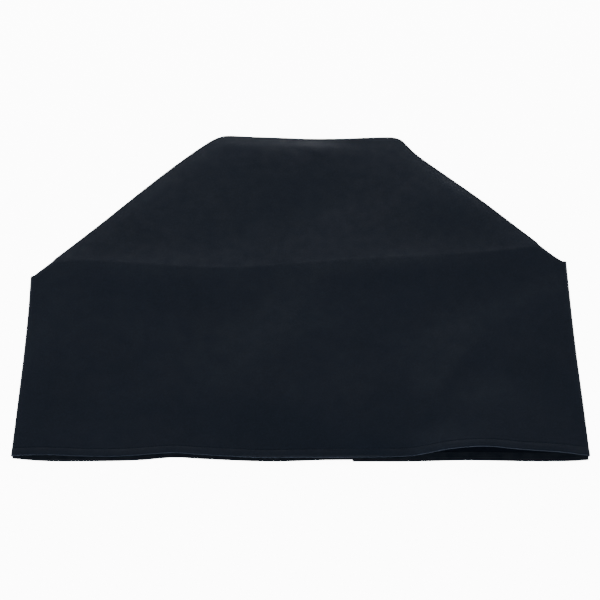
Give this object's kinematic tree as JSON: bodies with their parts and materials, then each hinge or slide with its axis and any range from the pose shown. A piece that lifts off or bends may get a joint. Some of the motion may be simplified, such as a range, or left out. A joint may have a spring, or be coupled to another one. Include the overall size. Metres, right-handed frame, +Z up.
{
  "type": "speaker cover",
  "caption": "Box-shaped cloth dust cover for a loudspeaker, lying flat and collapsed with its top tucked in, its side walls folded outwards and its hemmed mouth open.",
  "frame": {"origin": "middle of the lying cover's outline, on the surface that it rests on", "axes": "+X along the hem to the right as seen over the mouth, +Y from the mouth to the closed top, +Z up through the layers"},
  "size_m": [0.8574, 0.6216, 0.0222],
  "materials": {
    "wall_cloth": "matt blue-black coated cloth with a fine weave",
    "top_cloth": "matt blue-black coated cloth with a fine weave"
  },
  "bodies": {
    "root": {"skirt": "wall_cloth", "top_panel": "top_cloth"}
  },
  "joints": []
}
